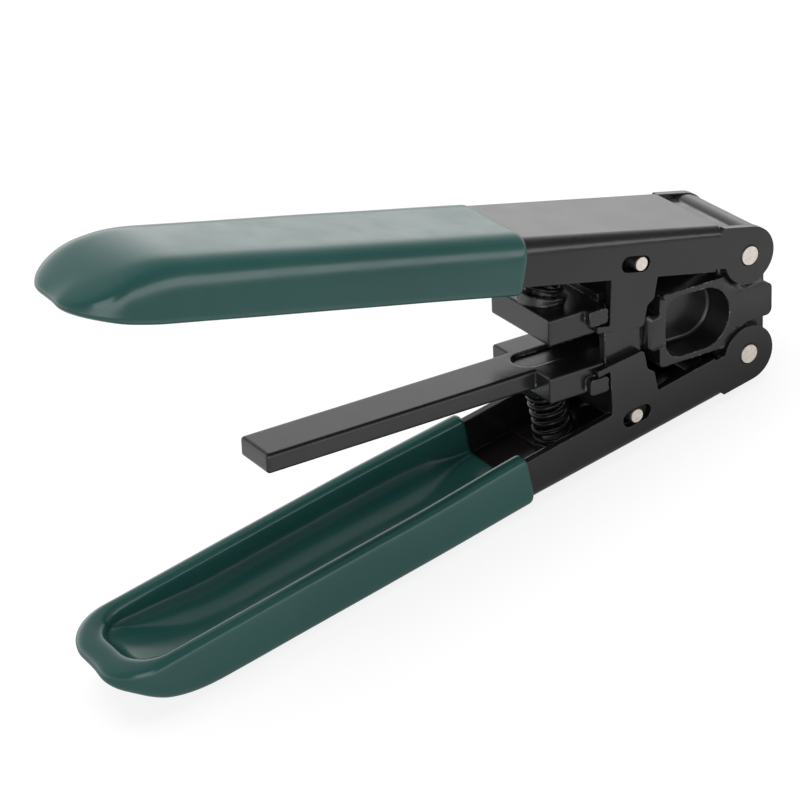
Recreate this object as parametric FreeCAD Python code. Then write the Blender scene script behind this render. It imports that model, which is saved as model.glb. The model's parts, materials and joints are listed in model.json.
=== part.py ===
import FreeCAD, Part
import math
import os

# Fibre drop cable stripper, in millimetres.
#
# The pieces are drawn in the tool's own frame: +X towards the nose, +Z towards the upper handle,
# origin midway between the two pivots.  At the end the whole tool is turned about Y until the
# lower handle lies flat, and set down with the middle of its box over the origin.
#
# A handle is drawn about its own pivot with its channel along -X and its web on the +Z side.

# Pivots and travel
PIVOT_HALF_GAP = 10.2
OPEN_ANGLE = 11.3
CLOSE_ANGLE = 5.6

# Pressed handle channel
SHEET = 1.5
CHANNEL_WIDTH = 22.5
CHANNEL_LENGTH = 139.0
WEB_HEIGHT = 5.9
RIM_DEPTH = 2.8
WINDOW_DEPTH = 2.3
BEND_RADIUS = 1.9
END_PLAN_RADIUS = 8.0
END_SWEEP_START = 119.0
END_SWEEP_RADIUS = 30.0
END_CORNER_ROUND = 3.6
END_EDGE_ROUND = 1.6
WEB_FRONT = 7.7
RELIEF_NOTCH = 0.4
RELIEF_DEPTH = 0.6
EAR_RADIUS = 5.7

# Cheek tab with its hook, measured back from the pivot and in from it
TAB_FRONT = 21.4
TAB_STEP = 1.35
TAB_STEP_DEPTH = 7.0
TAB_TOE_DEPTH = 12.5
TAB_REAR = 32.1
HOOK_ROOT = 30.75
HOOK_TIP = 33.5
HOOK_DEPTH = 13.1
HOOK_THICKNESS = 1.25
TAB_CORNER = 0.9
HOOK_CORNER = 0.3
WINDOW_CORNER = 1.0
CHEEK_OVERLAP = 8.0

# Slot for the jaw pin
SLOT_LENGTH = 6.5
SLOT_CLEARANCE = 0.08
SLOT_END_PLAY = 0.04

# Dipped grip
GRIP_START = 52.1
GRIP_OUTER = 0.8
GRIP_RIM = 1.6
GRIP_LINING = 0.6
GRIP_INNER_BEND = 2.0
GRIP_RIM_ROUND = 1.3
GRIP_END_LINING = 2.0
UPPER_TIP = 2.6
LOWER_TIP = 1.8

# Rivets and jaw pins
RIVET_RADIUS = 2.05
RIVET_PROUD = 0.15
PIN_RADIUS = 1.5
PIN_PROUD = 0.1
PIVOT_CLEARANCE = 0.05
SEAT_CLEARANCE = 0.02
END_CHAMFER = 0.2

# Head block
BLOCK_INSET = 0.15
BLOCK_HALF_HEIGHT = 7.3
BLOCK_REAR = 20.9
BLOCK_FRONT = 0.5
BLOCK_CORNER = 0.6
NOSE_FRONT = 5.5
NOSE_HALF_HEIGHT = 3.35
NOSE_ROUND = 1.3
TONGUE_REAR = 23.0
TONGUE_HALF_HEIGHT = 3.4
TONGUE_ROUND = 0.8
LIP_LENGTH = 0.6
EAR_SIDE_CLEARANCE = 0.1
EAR_RELIEF = 0.7
KNUCKLE_RADIUS = 5.5
KNUCKLE_FRONT = 4.6
KNUCKLE_REAR = 7.0
RIB_REAR = 14.0
RIB_HALF = 5.0
POCKET_DEPTH = 6.5
POCKET_FRONT = 4.6
POCKET_REAR = 19.6
POCKET_HALF_HEIGHT = 6.2
POCKET_FRONT_RADIUS = 6.1
POCKET_REAR_RADIUS = 3.6
POCKET_FLOOR_ROUND = 0.8
PASSAGE_RADIUS = 2.3
PASSAGE_FUNNEL = 0.7

# Guide plates beside the jaws
PLATE_THICKNESS = 1.6
PLATE_CLEARANCE = 0.2
PLATE_REAR = 32.5
PLATE_HALF_HEIGHT = 8.4
PLATE_GROOVE = 0.7
PLATE_CORNER = 0.8
PLATE_TENON_HALF_HEIGHT = 2.4
PLATE_TENON_THICKNESS = 1.0
PLATE_TENON_DEPTH = 2.0

# Jaws
JAW_GAP_HALF = 3.22
JAW_THICKNESS = 5.28
JAW_REAR = 44.9
JAW_CHEEK_CLEARANCE = 0.15
JAW_EDGE = 0.5
JAW_END_CLEARANCE = 0.3
JAW_SIDE_CLEARANCE = 0.15
JAW_FRONT_CLEARANCE = 0.4
JAW_SLIDE_HEIGHT = 10.0
LUG_LENGTH = 4.1
LUG_INSET = 0.1
LUG_ROOT = 1.65
LUG_INNER = 5.45
LUG_CORNER = 0.7
EYE_RADIUS = 2.9
UPPER_PIN_BACK = 25.2
LOWER_PIN_BACK = 26.5

# Cable groove and gauge bar
GROOVE_WIDTH = 6.7
GROOVE_DEPTH = 0.8
UPPER_GROOVE_REAR = 41.0
LOWER_GROOVE_REAR = 46.5
BAR_END = 102.6
BAR_WIDTH = 9.8
BAR_THICKNESS = 3.9
BAR_EDGE = 0.7

# Blades and their screws
BLADE_THICKNESS = 1.2
BLADE_HALF_WIDTH = 6.0
BLADE_HEIGHT = 5.2
BLADE_STAND_OUT = 0.5
BLADE_LAND = 0.25
BLADE_BEVEL_HEIGHT = 0.95
FIBRE_NOTCH_RADIUS = 0.5
STRENGTH_NOTCH_RADIUS = 0.35
STRENGTH_NOTCH_OFFSET = 1.1
SCREW_OFFSET = 4.2
SCREW_DROP = 1.9
SCREW_HEAD_RADIUS = 1.6
SCREW_HEAD_DEPTH = 0.8
SCREW_SHANK_RADIUS = 0.8
SCREW_LENGTH = 4.2

# Springs and their seats
SPRING_BACK = 38.85
SPRING_OUTER_RADIUS = 4.0
SPRING_WIRE = 1.0
SPRING_TURNS = 7
SPRING_CLOSED_GAP = 0.06
SPRING_END_CLEARANCE = 0.05
SEAT_PLATE_THICKNESS = 0.8
SEAT_PLATE_LENGTH = 8.2
SEAT_PLATE_CLEARANCE = 1.1
PEG_RADIUS = 2.75
PEG_HEIGHT = 1.3
BOSS_RADIUS = 4.5
BOSS_RISE = 1.1

# Worked out from the sizes above
CHEEK_HALF = CHANNEL_WIDTH / 2
CHANNEL_HALF = CHEEK_HALF - SHEET
PIN_SLOT_HALF = PIN_RADIUS + SLOT_CLEARANCE
KNUCKLE_HALF = CHANNEL_HALF - EAR_SIDE_CLEARANCE
BLOCK_HALF = CHEEK_HALF - BLOCK_INSET
LIP_REAR = TONGUE_REAR + LIP_LENGTH
PLATE_FRONT = LIP_REAR + PLATE_GROOVE
PLATE_OUTER = CHANNEL_HALF - PLATE_CLEARANCE
PLATE_INNER = PLATE_OUTER - PLATE_THICKNESS
JAW_FRONT = LIP_REAR + JAW_FRONT_CLEARANCE
JAW_SHOULDER = PLATE_REAR + JAW_END_CLEARANCE
JAW_SLIDE_HALF = PLATE_INNER - JAW_SIDE_CLEARANCE
JAW_HALF = CHANNEL_HALF - JAW_CHEEK_CLEARANCE
LUG_OUTER = CHEEK_HALF - LUG_INSET
JAW_OUTER = JAW_GAP_HALF + JAW_THICKNESS
OPEN_SLOPE = math.tan(math.radians(OPEN_ANGLE))
CLOSED_PIN_REACH = UPPER_PIN_BACK / math.cos(math.radians(OPEN_ANGLE - CLOSE_ANGLE))
SLOT_FRONT = CLOSED_PIN_REACH - PIN_SLOT_HALF - SLOT_END_PLAY
SLOT_REAR = SLOT_FRONT + SLOT_LENGTH
SEAT_TOP = WEB_HEIGHT - SHEET - SEAT_PLATE_THICKNESS
SEAT_HALF = CHANNEL_HALF - (BEND_RADIUS - SHEET) - SEAT_PLATE_CLEARANCE
BLADE_EDGE = JAW_GAP_HALF - BLADE_STAND_OUT
SPRING_FOOT = (
    JAW_OUTER - PIVOT_HALF_GAP - SPRING_BACK * math.sin(math.radians(OPEN_ANGLE))
) / math.cos(math.radians(OPEN_ANGLE)) + BOSS_RISE
TOLERANCE = 1e-6

ORIGIN = FreeCAD.Vector(0, 0, 0)
AXIS_X = FreeCAD.Vector(1, 0, 0)
AXIS_Y = FreeCAD.Vector(0, 1, 0)
AXIS_Z = FreeCAD.Vector(0, 0, 1)


def box(x_range, y_range, z_range):
    """Box between the given pairs of limits."""
    corner = FreeCAD.Vector(x_range[0], y_range[0], z_range[0])
    sizes = [limits[1] - limits[0] for limits in (x_range, y_range, z_range)]
    return Part.makeBox(*sizes, corner)


def cross_bar(x, z, radius, half_width):
    """Round bar across the tool, centred on its mid-plane."""
    return Part.makeCylinder(radius, 2 * half_width, FreeCAD.Vector(x, -half_width, z), AXIS_Y)


def outline(corners, place):
    """Closed wire through corners given as (a, b, rounding); place turns (a, b) into a point."""
    points = [place(a, b) for a, b, _ in corners]
    edges = []
    start = None
    first = None
    for index, (_, _, rounding) in enumerate(corners):
        here = points[index]
        before = points[index - 1] - here
        after = points[(index + 1) % len(points)] - here
        before.normalize()
        after.normalize()
        if rounding:
            half = before.getAngle(after) / 2
            reach = rounding / math.tan(half)
            middle = before + after
            middle.normalize()
            apex = here + middle * (rounding / math.sin(half) - rounding)
            arrive = here + before * reach
            leave = here + after * reach
            arc = Part.Arc(arrive, apex, leave).toShape()
        else:
            arrive = leave = here
            arc = None
        if start is not None and start.distanceToPoint(arrive) > TOLERANCE:
            edges.append(Part.makeLine(start, arrive))
        if arc:
            edges.append(arc)
        first = first or arrive
        start = leave
    if start.distanceToPoint(first) > TOLERANCE:
        edges.append(Part.makeLine(start, first))
    return Part.Wire(edges)


def side_slab(corners, y_low, y_high):
    """Slab with the given outline in the (x, z) plane, between two values of y."""
    wire = outline(corners, lambda x, z: FreeCAD.Vector(x, y_low, z))
    return Part.Face(wire).extrude(AXIS_Y * (y_high - y_low))


def plan_slab(corners, z_low, z_high):
    """Slab with the given outline in the (x, y) plane, between two values of z."""
    wire = outline(corners, lambda x, y: FreeCAD.Vector(x, y, z_low))
    return Part.Face(wire).extrude(AXIS_Z * (z_high - z_low))


def rounded(shape, radius, wanted):
    """Fillet of one radius on every edge that wanted accepts."""
    return shape.makeFillet(radius, [edge for edge in shape.Edges if wanted(edge)])


def mirrored(shape):
    """The same piece on the other side of the tool's mid-plane z = 0."""
    return shape.mirror(ORIGIN, AXIS_Z)


def both_sides(make):
    """Joins the piece made for the +Y side with the one made for the -Y side."""
    piece = make()
    return piece.fuse(piece.mirror(ORIGIN, AXIS_Y))


# Handles

def fillet_by_edge(shape, radii):
    """Fillets whose radius may differ between the two ends of an edge; radii maps edge index to both."""
    blank = WORKSHOP.addObject("Part::Feature", "Blank")
    blank.Shape = shape
    fillet = WORKSHOP.addObject("Part::Fillet", "Rounded")
    fillet.Base = blank
    fillet.Edges = [(index + 1, first, last) for index, (first, last) in radii.items()]
    WORKSHOP.recompute()
    return fillet.Shape


def channel_form(grow, bend, front, depth, tip=0):
    """Solid under a handle's web, grown outwards by grow: flat web, straight flanks, swept rear end.

    The web sweeps down to the rear in an arc, and its end lies further back by tip.  The bend radius
    along the flanks grows towards the rear corners and falls again to the edge round at the end.
    """
    half = CHEEK_HALF + grow
    rear = -(CHANNEL_LENGTH + grow + tip)
    top = WEB_HEIGHT + grow
    corner = END_PLAN_RADIUS + grow
    plan = plan_slab(
        [(-front, -half, 0), (-front, half, 0), (rear, half, corner), (rear, -half, corner)], -depth, top
    )
    form = plan.common(swept_web(grow, front, depth, END_SWEEP_START + tip))
    radii = {}
    for index, edge in enumerate(form.Edges):
        middle = edge.CenterOfMass
        upright = abs(edge.BoundBox.ZLength - edge.Length) < TOLERANCE
        at_front = abs(middle.x + front) < TOLERANCE
        at_rim = abs(middle.z + depth) < TOLERANCE
        across = edge.BoundBox.YLength > 2 * half - TOLERANCE
        if not (upright or at_front or at_rim or across):
            ends = [edge.valueAt(edge.FirstParameter), edge.valueAt(edge.LastParameter)]
            radii[index] = tuple(edge_round(end.x, rear, corner, bend) for end in ends)
    return fillet_by_edge(form, radii)


def swept_web(grow, front, depth, start):
    """Slab seen from the side under the flat web and the arc that it sweeps down in from start."""
    radius = END_SWEEP_RADIUS + grow
    top = WEB_HEIGHT + grow
    reach = CHANNEL_LENGTH + grow - END_SWEEP_START
    centre = FreeCAD.Vector(-start, -CHANNEL_WIDTH, top - radius)

    def on_arc(along):
        return centre + FreeCAD.Vector(-along, 0, math.sqrt(radius ** 2 - along ** 2))

    corners = [
        FreeCAD.Vector(-front, -CHANNEL_WIDTH, -depth),
        FreeCAD.Vector(-front, -CHANNEL_WIDTH, top),
        on_arc(0),
        on_arc(reach),
        FreeCAD.Vector(centre.x - reach, -CHANNEL_WIDTH, -depth),
    ]
    edges = [
        Part.makeLine(corners[0], corners[1]),
        Part.makeLine(corners[1], corners[2]),
        Part.Arc(corners[2], on_arc(reach / 2), corners[3]).toShape(),
        Part.makeLine(corners[3], corners[4]),
        Part.makeLine(corners[4], corners[0]),
    ]
    return Part.Face(Part.Wire(edges)).extrude(AXIS_Y * (2 * CHANNEL_WIDTH))


def edge_round(x, rear, corner, bend):
    """Radius of the web's edge at a place along the handle."""
    if abs(x - rear) < TOLERANCE:
        return END_EDGE_ROUND
    if abs(x - rear - corner) < TOLERANCE:
        return END_CORNER_ROUND
    return bend


def cheek():
    """Flat cheek on the +Y side: pivot ear, neck, and the tab with its toe and hook."""
    notch = -(WEB_FRONT - RELIEF_NOTCH)
    flank_top = WEB_HEIGHT - BEND_RADIUS - SHEET
    flank_rear = -(TAB_REAR + CHEEK_OVERLAP)
    step = -(TAB_FRONT + TAB_STEP)
    hook_face = -(HOOK_DEPTH - HOOK_THICKNESS)
    plate = side_slab(
        [
            (0, EAR_RADIUS, 0),
            (notch, EAR_RADIUS, HOOK_CORNER),
            (notch, EAR_RADIUS - RELIEF_DEPTH, HOOK_CORNER),
            (-WEB_FRONT, EAR_RADIUS - RELIEF_DEPTH, 0),
            (-WEB_FRONT, flank_top, 0),
            (flank_rear, flank_top, 0),
            (flank_rear, -RIM_DEPTH, 0),
            (-TAB_REAR, -RIM_DEPTH, HOOK_CORNER),
            (-HOOK_ROOT, hook_face, HOOK_CORNER),
            (-HOOK_TIP, hook_face, HOOK_CORNER),
            (-HOOK_TIP, -HOOK_DEPTH, HOOK_CORNER),
            (step, -TAB_TOE_DEPTH, TAB_CORNER),
            (step, -TAB_STEP_DEPTH - TAB_STEP, TAB_CORNER),
            (-TAB_FRONT, -TAB_STEP_DEPTH, TAB_CORNER),
            (-TAB_FRONT, -WINDOW_DEPTH, WINDOW_CORNER),
            (0, -WINDOW_DEPTH, 0),
        ],
        CHANNEL_HALF,
        CHEEK_HALF,
    )
    ear = Part.makeCylinder(EAR_RADIUS, SHEET, FreeCAD.Vector(0, CHANNEL_HALF, 0), AXIS_Y)
    return plate.fuse(ear)


def pin_slot():
    """Stadium cut across both cheeks, on the line from the pivot along the handle."""
    corners = [
        (-SLOT_FRONT, -PIN_SLOT_HALF, PIN_SLOT_HALF),
        (-SLOT_FRONT, PIN_SLOT_HALF, PIN_SLOT_HALF),
        (-SLOT_REAR, PIN_SLOT_HALF, PIN_SLOT_HALF),
        (-SLOT_REAR, -PIN_SLOT_HALF, PIN_SLOT_HALF),
    ]
    return side_slab(corners, -CHANNEL_WIDTH, CHANNEL_WIDTH)


def handle():
    """Pressed channel with its cheeks, pivot holes and pin slots."""
    outside = channel_form(0, BEND_RADIUS, WEB_FRONT, RIM_DEPTH)
    inside = channel_form(-SHEET, BEND_RADIUS - SHEET, WEB_FRONT - SHEET, RIM_DEPTH + SHEET)
    sheet = outside.cut(inside).fuse(both_sides(cheek))
    pivot = cross_bar(0, 0, RIVET_RADIUS + PIVOT_CLEARANCE, CHANNEL_WIDTH)
    return sheet.cut([pivot, pin_slot()]).removeSplitter()


def grip(channel, tip):
    """Dipped sleeve over the rear of the channel: outside, inside and round the rim.

    The dip has run down to the tip, so the sleeve is thicker there inside and out.
    """
    rim = RIM_DEPTH + GRIP_RIM
    outside = channel_form(GRIP_OUTER, BEND_RADIUS + GRIP_OUTER, GRIP_START, rim, tip)
    lining = -SHEET - GRIP_LINING
    inside = channel_form(lining, GRIP_INNER_BEND, GRIP_START - SHEET, rim + SHEET, -GRIP_END_LINING)
    skin = outside.cut(inside)
    skin = rounded(
        skin,
        GRIP_RIM_ROUND,
        lambda edge: abs(edge.BoundBox.ZMax + rim) < TOLERANCE < -edge.BoundBox.XMin - GRIP_START,
    )
    return skin.cut(channel)


def spring_seat():
    """Thin plate on the channel's floor with a peg that centres the spring."""
    plate = box(
        (-SPRING_BACK - SEAT_PLATE_LENGTH / 2, -SPRING_BACK + SEAT_PLATE_LENGTH / 2),
        (-SEAT_HALF, SEAT_HALF),
        (SEAT_TOP, SEAT_TOP + SEAT_PLATE_THICKNESS),
    )
    return plate.fuse(spring_peg(SEAT_TOP, -1))


def spring_peg(height, direction):
    """Peg inside the spring's end coil, with a chamfered tip."""
    foot = FreeCAD.Vector(-SPRING_BACK, 0, height)
    peg = Part.makeCylinder(PEG_RADIUS, PEG_HEIGHT, foot, AXIS_Z * direction)
    tip = height + direction * PEG_HEIGHT
    edges = [edge for edge in peg.Edges if abs(edge.CenterOfMass.z - tip) < TOLERANCE and edge.isClosed()]
    return peg.makeChamfer(END_CHAMFER, edges)


def spring():
    """Coil spring, square to the handle's web, between the boss on the jaw and the seat plate.

    Each half turn is a half torus tilted by its own rise, so neighbouring halves meet in line.
    The first and the last turn lie closed.
    """
    margin = SPRING_WIRE / 2 + SPRING_END_CLEARANCE
    radius = SPRING_OUTER_RADIUS - SPRING_WIRE / 2
    halves = 2 * SPRING_TURNS
    closed_rise = (SPRING_WIRE + SPRING_CLOSED_GAP) / 2
    open_rise = (SEAT_TOP - SPRING_FOOT - 2 * margin - 4 * closed_rise) / (halves - 4)
    rises = [closed_rise] * 2 + [open_rise] * (halves - 4) + [closed_rise] * 2
    turns = []
    side = 1
    height = SPRING_FOOT + margin
    for rise in rises:
        start = FreeCAD.Vector(-SPRING_BACK + side * radius, 0, height)
        middle = FreeCAD.Vector(-SPRING_BACK, 0, height + rise / 2)
        section = Part.Face(Part.Wire(Part.makeCircle(SPRING_WIRE / 2, start, AXIS_Y)))
        across = start - middle
        turns.append(section.revolve(middle, across.cross(AXIS_Y) * side, 180))
        height += rise
        side = -side
    return turns[0].fuse(turns[1:])


def spring_boss():
    """Round boss on a jaw, its top square to the spring, with a peg inside the end coil."""
    sunk = 2 * BOSS_RISE
    foot = FreeCAD.Vector(-SPRING_BACK, 0, SPRING_FOOT - BOSS_RISE - sunk)
    boss = Part.makeCylinder(BOSS_RADIUS, BOSS_RISE + sunk, foot, AXIS_Z)
    return boss.fuse(spring_peg(SPRING_FOOT, 1))


def at_upper_pivot(shape):
    """Moves a piece from the handle's own frame to the open upper handle."""
    placed = shape.copy()
    placed.rotate(ORIGIN, AXIS_Y, OPEN_ANGLE)
    placed.translate(AXIS_Z * PIVOT_HALF_GAP)
    return placed


# Head block and guide plates

def pocket():
    """Side pocket on the +Y side: round towards the nose, softer corners behind."""
    floor = BLOCK_HALF - POCKET_DEPTH
    form = side_slab(
        [
            (-POCKET_REAR, -POCKET_HALF_HEIGHT, POCKET_REAR_RADIUS),
            (-POCKET_FRONT, -POCKET_HALF_HEIGHT, POCKET_FRONT_RADIUS),
            (-POCKET_FRONT, POCKET_HALF_HEIGHT, POCKET_FRONT_RADIUS),
            (-POCKET_REAR, POCKET_HALF_HEIGHT, POCKET_REAR_RADIUS),
        ],
        floor,
        BLOCK_HALF + POCKET_DEPTH,
    )
    return rounded(form, POCKET_FLOOR_ROUND, lambda edge: edge.BoundBox.YMax < floor + TOLERANCE)


def ear_relief():
    """Round clearance on the +Y side for the ears of both handles."""
    reach = EAR_RADIUS + EAR_RELIEF
    depth = CHANNEL_WIDTH - KNUCKLE_HALF
    discs = [
        Part.makeCylinder(reach, depth, FreeCAD.Vector(0, KNUCKLE_HALF, side * PIVOT_HALF_GAP), AXIS_Y)
        for side in (-1, 1)
    ]
    return discs[0].fuse(discs[1])


def head_block():
    """Cast head: block with pockets, nose between the ears, knuckles for the rivets, cable passage."""
    block = side_slab(
        [
            (-BLOCK_REAR, -BLOCK_HALF_HEIGHT, BLOCK_CORNER),
            (-BLOCK_FRONT, -BLOCK_HALF_HEIGHT, 0),
            (-BLOCK_FRONT, BLOCK_HALF_HEIGHT, 0),
            (-BLOCK_REAR, BLOCK_HALF_HEIGHT, BLOCK_CORNER),
        ],
        -BLOCK_HALF,
        BLOCK_HALF,
    )
    nose = side_slab(
        [
            (-POCKET_FRONT, -NOSE_HALF_HEIGHT, 0),
            (NOSE_FRONT, -NOSE_HALF_HEIGHT, NOSE_ROUND),
            (NOSE_FRONT, NOSE_HALF_HEIGHT, NOSE_ROUND),
            (-POCKET_FRONT, NOSE_HALF_HEIGHT, 0),
        ],
        -BLOCK_HALF,
        BLOCK_HALF,
    )
    tongue = side_slab(
        [
            (-TONGUE_REAR, -TONGUE_HALF_HEIGHT, TONGUE_ROUND),
            (-POCKET_REAR, -TONGUE_HALF_HEIGHT, 0),
            (-POCKET_REAR, TONGUE_HALF_HEIGHT, 0),
            (-TONGUE_REAR, TONGUE_HALF_HEIGHT, TONGUE_ROUND),
        ],
        -BLOCK_HALF,
        BLOCK_HALF,
    )
    wide = block.fuse([nose, tongue]).cut(both_sides(ear_relief))
    heights = (-PIVOT_HALF_GAP, PIVOT_HALF_GAP)
    core = box((-KNUCKLE_REAR, KNUCKLE_FRONT), (-KNUCKLE_HALF, KNUCKLE_HALF), heights)
    saddle = at_upper_pivot(box((-KNUCKLE_REAR, 0), (-KNUCKLE_HALF, KNUCKLE_HALF), (0, KNUCKLE_RADIUS)))
    rib = box((-RIB_REAR, -KNUCKLE_REAR), (-RIB_HALF, RIB_HALF), heights)
    knuckles = [cross_bar(0, height, KNUCKLE_RADIUS, KNUCKLE_HALF) for height in heights]
    lip = box(
        (-LIP_REAR, -POCKET_REAR),
        (-PLATE_OUTER, PLATE_OUTER),
        (-TONGUE_HALF_HEIGHT, TONGUE_HALF_HEIGHT),
    )
    rivet_holes = [cross_bar(0, height, RIVET_RADIUS + SEAT_CLEARANCE, CHANNEL_WIDTH) for height in heights]
    cuts = rivet_holes + [both_sides(pocket), both_sides(tenon_slot), cable_passage()]
    return wide.fuse([core, saddle, mirrored(saddle), rib, lip] + knuckles).cut(cuts).removeSplitter()


def cable_passage():
    """Round passage for the cable from the nose to the jaws, with a funnel at its mouth."""
    length = NOSE_FRONT + LIP_REAR
    bore = Part.makeCylinder(PASSAGE_RADIUS, length, FreeCAD.Vector(-LIP_REAR, 0, 0), AXIS_X)
    mouth = Part.makeCone(
        PASSAGE_RADIUS,
        PASSAGE_RADIUS + PASSAGE_FUNNEL,
        PASSAGE_FUNNEL,
        FreeCAD.Vector(NOSE_FRONT - PASSAGE_FUNNEL, 0, 0),
        AXIS_X,
    )
    return bore.fuse(mouth)


def tenon(clearance):
    """Tenon that fixes the +Y guide plate in the head block, grown by a clearance."""
    middle = (PLATE_OUTER + PLATE_INNER) / 2
    half = PLATE_TENON_THICKNESS / 2 + clearance
    height = PLATE_TENON_HALF_HEIGHT + clearance
    return box(
        (-PLATE_FRONT, -LIP_REAR + PLATE_TENON_DEPTH + clearance),
        (middle - half, middle + half),
        (-height, height),
    )


def tenon_slot():
    """Slot in the head block for the tenon of the +Y guide plate."""
    return tenon(SEAT_CLEARANCE)


def guide_plate():
    """Plate beside the jaws on the +Y side; its inner face and rear edge guide both jaws."""
    corners = [
        (-PLATE_REAR, -PLATE_HALF_HEIGHT, PLATE_CORNER),
        (-PLATE_FRONT, -PLATE_HALF_HEIGHT, PLATE_CORNER),
        (-PLATE_FRONT, PLATE_HALF_HEIGHT, PLATE_CORNER),
        (-PLATE_REAR, PLATE_HALF_HEIGHT, PLATE_CORNER),
    ]
    return side_slab(corners, PLATE_INNER, PLATE_OUTER).fuse(tenon(0)).removeSplitter()


def peened_bar(x, z, radius, half_width):
    """Rivet or pin across the tool with slightly chamfered ends."""
    bar = cross_bar(x, z, radius, half_width)
    return bar.makeChamfer(END_CHAMFER, [edge for edge in bar.Edges if edge.isClosed()])


# Jaws, drawn on the upper side

def pin_height(pin_back):
    """Height of a jaw pin that lies on the slot's line while the handle is open."""
    return PIVOT_HALF_GAP + pin_back * OPEN_SLOPE


def jaw_lug():
    """Lug on the +Y flank of the jaw that the handle's hook catches when the tool opens."""
    corners = [
        (-JAW_SHOULDER, LUG_INNER, LUG_CORNER),
        (-JAW_SHOULDER, JAW_OUTER, LUG_CORNER),
        (-JAW_SHOULDER - LUG_LENGTH, JAW_OUTER, LUG_CORNER),
        (-JAW_SHOULDER - LUG_LENGTH, LUG_INNER, LUG_CORNER),
    ]
    return side_slab(corners, JAW_HALF - LUG_ROOT, LUG_OUTER)


def cable_groove(rear):
    """Shallow groove along the jaw face for the flat cable, with a round rear end."""
    half = GROOVE_WIDTH / 2
    corners = [
        (-JAW_FRONT, -half, 0),
        (-JAW_FRONT, half, 0),
        (-rear, half, half),
        (-rear, -half, half),
    ]
    return plan_slab(corners, JAW_GAP_HALF - GROOVE_DEPTH, JAW_GAP_HALF + GROOVE_DEPTH)


def blade_blank(clearance):
    """Block that a blade takes up in the jaw's front face, grown by a clearance."""
    return box(
        (-JAW_FRONT - BLADE_THICKNESS - clearance, -JAW_FRONT),
        (-BLADE_HALF_WIDTH - clearance, BLADE_HALF_WIDTH + clearance),
        (BLADE_EDGE, BLADE_EDGE + BLADE_HEIGHT + clearance),
    )


def blade_screws(clearance):
    """Two countersunk screws through the blade, grown by a clearance."""
    screws = []
    for side in (-1, 1):
        head = FreeCAD.Vector(-JAW_FRONT, side * SCREW_OFFSET, BLADE_EDGE + BLADE_HEIGHT - SCREW_DROP)
        cone = Part.makeCone(
            SCREW_HEAD_RADIUS + clearance, SCREW_SHANK_RADIUS + clearance, SCREW_HEAD_DEPTH, head, -AXIS_X
        )
        shank = Part.makeCylinder(SCREW_SHANK_RADIUS + clearance, SCREW_LENGTH + clearance, head, -AXIS_X)
        screws.append(cone.fuse(shank).removeSplitter())
    return Part.makeCompound(screws)


def blade():
    """Hardened plate with a chisel edge, notched for the fibre and the two strength members."""
    profile = side_slab(
        [
            (-JAW_FRONT, BLADE_EDGE, 0),
            (-JAW_FRONT, BLADE_EDGE + BLADE_HEIGHT, 0),
            (-JAW_FRONT - BLADE_THICKNESS, BLADE_EDGE + BLADE_HEIGHT, 0),
            (-JAW_FRONT - BLADE_THICKNESS, BLADE_EDGE + BLADE_BEVEL_HEIGHT, 0),
            (-JAW_FRONT - BLADE_LAND, BLADE_EDGE, 0),
        ],
        -BLADE_HALF_WIDTH,
        BLADE_HALF_WIDTH,
    )
    notches = [
        Part.makeCylinder(
            radius, 2 * BLADE_THICKNESS, FreeCAD.Vector(-JAW_FRONT - 1.5 * BLADE_THICKNESS, y, BLADE_EDGE), AXIS_X
        )
        for radius, y in (
            (FIBRE_NOTCH_RADIUS, 0),
            (STRENGTH_NOTCH_RADIUS, -STRENGTH_NOTCH_OFFSET),
            (STRENGTH_NOTCH_RADIUS, STRENGTH_NOTCH_OFFSET),
        )
    ]
    return profile.cut(notches + blade_screws(SEAT_CLEARANCE).Solids)


def jaw(pin_back, groove_rear, extra):
    """Sliding jaw: rear block with lugs and spring boss, slide between the plates, eye for its pin."""
    height = pin_height(pin_back)
    slide_y = (-JAW_SLIDE_HALF, JAW_SLIDE_HALF)
    block = box((-JAW_REAR, -JAW_SHOULDER), (-JAW_HALF, JAW_HALF), (JAW_GAP_HALF, JAW_OUTER))
    block = rounded(block, JAW_EDGE, lambda edge: edge.CenterOfMass.x < -JAW_SHOULDER - JAW_EDGE)
    slide = box((-JAW_SHOULDER, -JAW_FRONT), slide_y, (JAW_GAP_HALF, JAW_SLIDE_HEIGHT))
    post = box((-pin_back - EYE_RADIUS, -JAW_FRONT), slide_y, (JAW_GAP_HALF, height))
    eye = cross_bar(-pin_back, height, EYE_RADIUS, JAW_SLIDE_HALF)
    boss = at_upper_pivot(spring_boss())
    casting = block.fuse([both_sides(jaw_lug), slide, post, eye, boss] + extra)
    pin_hole = cross_bar(-pin_back, height, PIN_RADIUS + SEAT_CLEARANCE, CHANNEL_WIDTH)
    cuts = [pin_hole, cable_groove(groove_rear), blade_blank(SEAT_CLEARANCE)] + blade_screws(SEAT_CLEARANCE).Solids
    return casting.cut(cuts).removeSplitter()


def gauge_bar():
    """Long bar behind the lower jaw that the stripped length is laid along."""
    half = BAR_WIDTH / 2
    bar = box((-BAR_END, -JAW_SHOULDER), (-half, half), (JAW_GAP_HALF, JAW_GAP_HALF + BAR_THICKNESS))
    return rounded(bar, BAR_EDGE, lambda edge: edge.CenterOfMass.x < -JAW_SHOULDER - BAR_EDGE)


def jaw_pin(pin_back):
    """Pin fixed in the jaw's eye, its ends in the slots of the handle."""
    return peened_bar(-pin_back, pin_height(pin_back), PIN_RADIUS, CHEEK_HALF + PIN_PROUD)


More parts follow.
